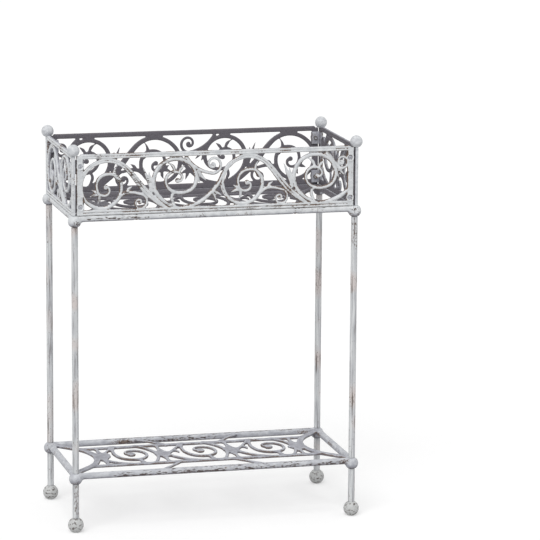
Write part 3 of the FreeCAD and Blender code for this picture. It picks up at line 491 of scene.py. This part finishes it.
def ridge_curves(node, outward, front_mm, lines):
    """A panel's ridge lines as curves lying on its front face."""
    across, up = Vector((-outward[1], outward[0], 0)), Vector((0, 0, 1))
    curves = bpy.data.curves.new(node + "_ridges", "CURVE")
    curves.dimensions = "3D"
    for line in lines:
        spline = curves.splines.new("BEZIER")
        spline.bezier_points.add(len(line) - 1)
        for knot, (x, y) in zip(spline.bezier_points, line):
            knot.co = (across * x + up * (TRAY_TOP + y) + Vector(outward) * front_mm) * MM
            knot.handle_left_type = knot.handle_right_type = "AUTO"
    return placed(node + "_ridges", curves)


def rubbed_spots():
    """Where handling and packing rubbed the enamel back, in millimetres: bare points for the tree to measure
    from. A row that lies a little off the metal rubs it less."""
    tray_bar, panel_foot = (-133, 586), (-135, 596)
    shelf_front, shelf_front_top = (-129, 103), (-127, 115)
    shelf_back_top, shelf_back = (125, 112), (117, 104)
    rows = [
        (tray_bar, range(-240, -120, 8)),
        (panel_foot, range(-120, 240, 12)),
        (shelf_front, range(-190, 20, 5)),
        (shelf_front, range(40, 250, 8)),
        (shelf_front_top, range(-80, 190, 9)),
        (shelf_back_top, range(-160, 250, 6)),
        (shelf_back, range(-130, 60, 8)),
    ]
    tray_knuckles = [
        (-257, -133, 578), (-263, -136, 581), (-268, -135, 576), (270, -135, 580), (262, -135, 590)]
    first_scroll = [
        (78, 81), (80, 61), (84, 68), (90, 82), (104, 74), (113, 62), (120, 55), (126, 81), (132, 60),
        (163, 94), (178, 78), (190, 66), (177, 20), (31, 36), (45, 27), (94, 38), (42, 110)]
    leg_front, short_leg, long_leg = -129, range(40, 95, 6), range(520, 575, 8)
    spots = [(x, y, z) for (y, z), run in rows for x in run] + tray_knuckles
    spots += [(x - LEG_X, -LONG_PANEL_FRONT, TRAY_TOP + y) for x, y in first_scroll]
    spots += [(-LEG_X, leg_front, z) for z in short_leg] + [(LEG_X, leg_front, z) for z in long_leg]
    mesh = bpy.data.meshes.new("rubbed_spots")
    mesh.from_pydata([Vector(spot) * MM for spot in spots], [], [])
    return placed("rubbed_spots", mesh)


def make_castings(tree, enamel, marks):
    panels = {
        "front_panel": (0, -1, 0), "back_panel": (0, 1, 0),
        "left_panel": (-1, 0, 0), "right_panel": (1, 0, 0)}
    everywhere, to_side_end = (1000, 1000, 0), (1000, 126.5, 0)
    same = {"Swell": 0.35 * MM, "Rubbed Spots": marks, "Material": enamel}
    for node, outward in panels.items():
        if node in ("front_panel", "back_panel"):
            voxel_mm, front_mm, field, wear_and_shade = 1.07, LONG_PANEL_FRONT, everywhere, 0.35
            lines = panel_lines(2, LEG_SPACING_X, LONG_PANEL_HALF)
        else:
            voxel_mm, front_mm, field, wear_and_shade = 1.0, SIDE_PANEL_FRONT, to_side_end, 0.16
            lines = panel_lines(1, LEG_SPACING_Y, SIDE_PANEL_HALF)
        ridges = ridge_curves(node, outward, front_mm, lines)
        piece = skin_over(node, tree, voxel_mm, {
            **same, "Rub Reach": 13 * MM, "Rounding": 2, "Outward": outward,
            "Coat Low": -0.5, "Coat High": 0.7, "Coat Most": 2.0,
            "Open Field": Vector(field) * MM, "Field Coat And Shade": 0.5,
            "Ridge Lines": ridges, "Front Level": front_mm * MM, "Ridge Depth": 1.7 * MM,
            "Wall Wear And Shade": 0.05, "Field Wear And Shade": wear_and_shade})
        bpy.data.objects.remove(ridges)
        hand_over(piece, "painted_casting", node)

    # The shelf's grille shows lilac with brown edges, its walls darkened as painted shade; inside the panels
    # the tray is hardly painted, its plum-grey also painted shade of the tray's inside.
    decks = {
        "shelf_deck": {
            "Open Field": Vector(INSIDE_BARS) * MM, "Field Coat And Shade": 0.54, "Coat Most": 0.62,
            "Crown Coat And Highlight": 0.2, "Wall Shade": 0.22, "Field Wear And Shade": 0.37},
        "tray_deck": {
            "Open Field": Vector(INSIDE_PANELS) * MM, "Field Coat And Shade": 0.09, "Coat Most": 0.95,
            "Crown Coat And Highlight": 0.0, "Wall Shade": 0.27, "Field Wear And Shade": 0.26}}
    for node, own in decks.items():
        piece = skin_over(node, tree, 1.42, {
            **same, **own, "Rub Reach": 10 * MM, "Rounding": 4, "Outward": (0, 0, 1),
            "Coat Low": -0.9, "Coat High": 0.0, "Ridge Depth": 0.0, "Wall Wear And Shade": 0.12})
        hand_over(piece, "painted_casting", node)


def make_legs(tree, rod_paint, ball_paint, plain, marks):
    same = {
        "Rounding": 2, "Outward": (0, 0, 1), "Coat Low": -2.0, "Coat High": -1.5, "Coat Most": 0.76,
        "Open Field": (0, 0, 0), "Field Coat And Shade": 1.0, "Ridge Depth": 0.0, "Wall Wear And Shade": 0.0, "Field Wear And Shade": 0.0,
        "Rubbed Spots": marks, "Rub Reach": 12 * MM}
    kinds = (
        ("lower_leg_", 1.2, 0.5, rod_paint, "painted_rod"),
        ("upper_leg_", 1.2, 0.5, rod_paint, "painted_rod"),
        ("foot_", 0.9, 0.4, ball_paint, "painted_casting"),
        ("finial_", 0.8, 0.3, plain, "painted_casting"))
    for corner in CORNERS:
        for kind, voxel_mm, swell_mm, paint, slot in kinds:
            node = kind + corner
            piece = skin_over(node, tree, voxel_mm, {**same, "Swell": swell_mm * MM, "Material": paint})
            hand_over(piece, slot, node)


# Screws and nuts


def loose_boxes(node):
    """Lowest and highest corner of each loose solid in a node, in order of place, the same each run."""
    edit = bmesh.new()
    edit.from_mesh(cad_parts[node].data)
    bmesh.ops.remove_doubles(edit, verts=edit.verts, dist=WELD * MM)
    left, boxes = set(edit.verts), []
    while left:
        reached = [left.pop()]
        for vert in reached:
            fresh = [edge.other_vert(vert) for edge in vert.link_edges if edge.other_vert(vert) in left]
            left.difference_update(fresh)
            reached += fresh
        corners = list(zip(*(vert.co for vert in reached)))
        boxes.append((Vector(map(min, corners)), Vector(map(max, corners))))
    edit.free()
    return sorted(boxes, key=lambda box: tuple(box[0]))


def fastener_points(name, places):
    """One bare point for each fastener, with the way its head looks."""
    mesh = bpy.data.meshes.new(name)
    mesh.from_pydata([spot for spot, way in places], [], [])
    ways = mesh.attributes.new("way", "FLOAT_VECTOR", "POINT")
    for held, (spot, way) in zip(ways.data, places):
        held.vector = way
    return placed(name, mesh)


def set_out(tree, points, shape):
    """Copies of a shape on the points, turned from +Z to each point's way, and round it by a fixed seed."""
    way = add(tree, "GeometryNodeInputNamedAttribute", {"Name": "way"}, data_type="FLOAT_VECTOR").outputs[0]
    turn = add(tree, "FunctionNodeAlignRotationToVector", {"Vector": way}, axis="Z").outputs[0]
    spin = add(tree, "FunctionNodeRandomValue", {2: 0.0, 3: math.pi, "Seed": 7}, data_type="FLOAT").outputs[1]
    spin = add(tree, "FunctionNodeAxisAngleToRotation", {"Axis": (0, 0, 1), "Angle": spin}).outputs[0]
    turn = add(tree, "FunctionNodeRotateRotation", {0: turn, 1: spin}, rotation_space="LOCAL").outputs[0]
    return add(tree, "GeometryNodeInstanceOnPoints", {
        "Points": points, "Instance": shape, "Rotation": turn}).outputs[0]


def slotted_screw():
    """A slotted screw with a domed head, its seat on the point and its shank behind."""
    slot_length = 50 * MM
    tree, given = tree_with("slotted_screw", {
        "Geometry": "Geometry", "Head Radius": "Float", "Head Height": "Float", "Shank Radius": "Float",
        "Shank Length": "Float", "Slot Width": "Float", "Coat": "Float", "Material": "Material"})
    ball = add(tree, "GeometryNodeMeshUVSphere", {"Segments": 32, "Rings": 24, "Radius": 1.0}).outputs[0]
    dome_size = add(tree, "ShaderNodeCombineXYZ", {
        0: given["Head Radius"], 1: given["Head Radius"], 2: given["Head Height"]}).outputs[0]
    dome = add(tree, "GeometryNodeTransform", {"Geometry": ball, "Scale": dome_size}).outputs[0]
    slot_size = add(tree, "ShaderNodeCombineXYZ", {
        0: slot_length, 1: given["Slot Width"], 2: given["Head Height"]}).outputs[0]
    slot = add(tree, "GeometryNodeMeshCube", {"Size": slot_size}).outputs[0]
    rise = add(tree, "ShaderNodeCombineXYZ", {2: given["Head Height"]}).outputs[0]
    slot = add(tree, "GeometryNodeTransform", {"Geometry": slot, "Translation": rise}).outputs[0]
    head = add(tree, "GeometryNodeMeshBoolean", {0: dome, 1: slot}, operation="DIFFERENCE",
               solver="EXACT").outputs[0]
    shank = add(tree, "GeometryNodeMeshCylinder", {
        "Vertices": 24, "Radius": given["Shank Radius"], "Depth": given["Shank Length"]}).outputs[0]
    back = add(tree, "ShaderNodeMath", {0: given["Shank Length"], 1: -0.5}, operation="MULTIPLY").outputs[0]
    back = add(tree, "ShaderNodeCombineXYZ", {2: back}).outputs[0]
    shank = add(tree, "GeometryNodeTransform", {"Geometry": shank, "Translation": back}).outputs[0]
    whole = add(tree, "GeometryNodeJoinGeometry")
    tree.links.new(head, whole.inputs[0])
    tree.links.new(shank, whole.inputs[0])
    coated = add(tree, "GeometryNodeStoreNamedAttribute", {
        "Geometry": whole.outputs[0], "Name": "coat", "Value": given["Coat"]},
        data_type="FLOAT", domain="POINT").outputs[0]
    return close_tree(tree, set_out(tree, given["Geometry"], coated), given["Material"])


def hexagon_nut():
    """A hexagon nut with its corners turned off, the point at its middle."""
    bore_length = 20 * MM
    tree, given = tree_with("hexagon_nut", {
        "Geometry": "Geometry", "Across Flats": "Float", "Height": "Float", "Bore Radius": "Float",
        "Material": "Material"})
    corner = add(tree, "ShaderNodeMath", {0: given["Across Flats"], 1: 0.5 / math.cos(math.pi / 6)},
                 operation="MULTIPLY").outputs[0]
    prism = add(tree, "GeometryNodeMeshCylinder", {
        "Vertices": 6, "Radius": corner, "Depth": given["Height"]}).outputs[0]
    turned = add(tree, "ShaderNodeMath", {0: corner, 1: 1.2}, operation="MULTIPLY").outputs[0]
    lens = add(tree, "GeometryNodeMeshUVSphere", {"Segments": 48, "Rings": 24, "Radius": turned}).outputs[0]
    lens = add(tree, "GeometryNodeTransform", {"Geometry": lens, "Scale": (1, 1, 0.72)}).outputs[0]
    chamfered = add(tree, "GeometryNodeMeshBoolean", {1: prism}, operation="INTERSECT", solver="EXACT")
    tree.links.new(lens, chamfered.inputs[1])
    bore = add(tree, "GeometryNodeMeshCylinder", {
        "Vertices": 24, "Radius": given["Bore Radius"], "Depth": bore_length}).outputs[0]
    nut = add(tree, "GeometryNodeMeshBoolean", {0: chamfered.outputs[0], 1: bore}, operation="DIFFERENCE",
              solver="EXACT").outputs[0]
    return close_tree(tree, set_out(tree, given["Geometry"], nut), given["Material"])


def make_fasteners(enamel, steel):
    def facing(low, high):
        return 1 if low.y + high.y > 0 else -1

    panel_head, deck_head, deck_dome, play = 2.2 * MM, 2.5 * MM, 2.4 * MM, 0.1 * MM
    screw = slotted_screw()
    boxes = loose_boxes("panel_screws")
    places = []
    for low, high in boxes:
        middle, side = (low + high) / 2, facing(low, high)
        outer = high.y if side > 0 else low.y
        places.append(((middle.x, outer - side * panel_head, middle.z), (0, side, 0)))
    low, high = boxes[0]
    piece = made_mesh("panel_screws_slotted", fastener_points("panel_screw_points", places), screw, {
        "Head Radius": 4 * MM, "Head Height": panel_head, "Shank Radius": 2 * MM,
        "Shank Length": high.y - low.y - panel_head - play, "Slot Width": 1 * MM,
        "Coat": 0.5, "Material": enamel})
    hand_over(piece, "painted_screw", "panel_screws")

    boxes = loose_boxes("deck_screws")
    places = [((*((low + high) / 2).xy, low.z + deck_head), (0, 0, -1)) for low, high in boxes]
    low, high = boxes[0]
    piece = made_mesh("deck_screws_slotted", fastener_points("deck_screw_points", places), screw, {
        "Head Radius": 3.5 * MM, "Head Height": deck_dome, "Shank Radius": 1.75 * MM,
        "Shank Length": high.z - low.z - deck_head - play, "Slot Width": 0.9 * MM,
        "Coat": 0.0, "Material": steel})
    hand_over(piece, "fastener_steel", "deck_screws")

    boxes = loose_boxes("panel_nuts")
    places = [((low + high) / 2, (0, -facing(low, high), 0)) for low, high in boxes]
    low, high = boxes[0]
    piece = made_mesh("panel_nuts_hexagon", fastener_points("panel_nut_points", places), hexagon_nut(), {
        "Across Flats": 7 * MM, "Height": high.y - low.y, "Bore Radius": 2.05 * MM, "Material": steel})
    hand_over(piece, "fastener_steel", "panel_nuts")
    for name in ("foot_studs", "shelf_studs", "tray_studs", "finial_studs"):
        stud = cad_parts[name]
        stud.data.materials.clear()
        stud.data.materials.append(steel)


# Light, floor and camera


def seen_by_lens(tree):
    """1 for what the lens sees straight, mirrored or through glass, 0 for light on its way to the stand."""
    ray = add(tree, "ShaderNodeLightPath").outputs
    seen = ray["Is Camera Ray"]
    for other in ("Is Glossy Ray", "Is Transmission Ray"):
        seen = add(tree, "ShaderNodeMath", {0: seen, 1: ray[other]}, operation="MAXIMUM").outputs[0]
    return seen


def make_floor():
    """White seamless paper: it shines by itself to the lens and keeps only a faint shadow."""
    own_glow, grey, half_width = 0.395, 0.665, 9
    made, tree = material("white_paper_floor")
    glow = add(tree, "ShaderNodeMath", {0: seen_by_lens(tree), 1: own_glow}, operation="MULTIPLY").outputs[0]
    paper = add(tree, "ShaderNodeBsdfDiffuse", {"Color": (grey, grey, grey, 1)}).outputs[0]
    shine = add(tree, "ShaderNodeEmission", {"Strength": glow}).outputs[0]
    both = add(tree, "ShaderNodeAddShader", {0: paper, 1: shine}).outputs[0]
    add(tree, "ShaderNodeOutputMaterial", {"Surface": both})
    mesh = bpy.data.meshes.new("floor")
    square = [(x * half_width, y * half_width, 0) for x, y in ((-1, -1), (1, -1), (1, 1), (-1, 1))]
    mesh.from_pydata(square, [], [(0, 1, 2, 3)])
    mesh.materials.append(made)
    floor = placed("floor", mesh)


def make_light():
    """A white room, with one wide lamp from the front left."""
    room_light, lamp_light, lamp_degrees, shines = 0.62, 1.5, 40, (0.45, 0.75, -1)
    world = bpy.data.worlds.new("white_room")
    bpy.context.scene.world = world
    world.use_nodes = True
    tree = world.node_tree
    tree.nodes.clear()
    level = add(tree, "ShaderNodeMapRange", {0: seen_by_lens(tree), 3: room_light, 4: 1.0}).outputs[0]
    sky = add(tree, "ShaderNodeBackground", {"Color": (1, 1, 1, 1), "Strength": level}).outputs[0]
    add(tree, "ShaderNodeOutputWorld", {"Surface": sky})

    lamp = bpy.data.lights.new("softbox", "SUN")
    lamp.energy = lamp_light
    lamp.angle = math.radians(lamp_degrees)
    sun = placed("softbox", lamp)
    sun.rotation_euler = Vector(shines).to_track_quat("-Z", "Y").to_euler()


def make_camera():
    """The photograph's viewpoint, fitted to the corners, knuckles and panel rails of the solids."""
    right = Vector((0.96774, -0.25186, 0.0067))
    down = Vector((-0.04156, -0.1858, -0.98171))
    forward = Vector((0.24849, 0.94976, -0.19027))
    stands_at = (-1.44256, -6.03143, 1.66248)
    lens = bpy.data.cameras.new("camera")
    lens.sensor_width = 36
    lens.lens = 223.79
    lens.clip_end = 40
    camera = placed("camera", lens)
    turn = Matrix((right, -down, -forward)).transposed().to_4x4()
    camera.matrix_world = Matrix.Translation(stands_at) @ turn
    bpy.context.scene.camera = camera


enamel = casting_enamel()
skin = cast_skin()
marks = rubbed_spots()
make_castings(skin, enamel, marks)
make_legs(skin, rod_enamel(), foot_enamel(), enamel, marks)
bpy.data.objects.remove(marks)
make_fasteners(enamel, screw_steel())

make_floor()
make_light()
make_camera()
bpy.context.scene.view_settings.view_transform = "Standard"
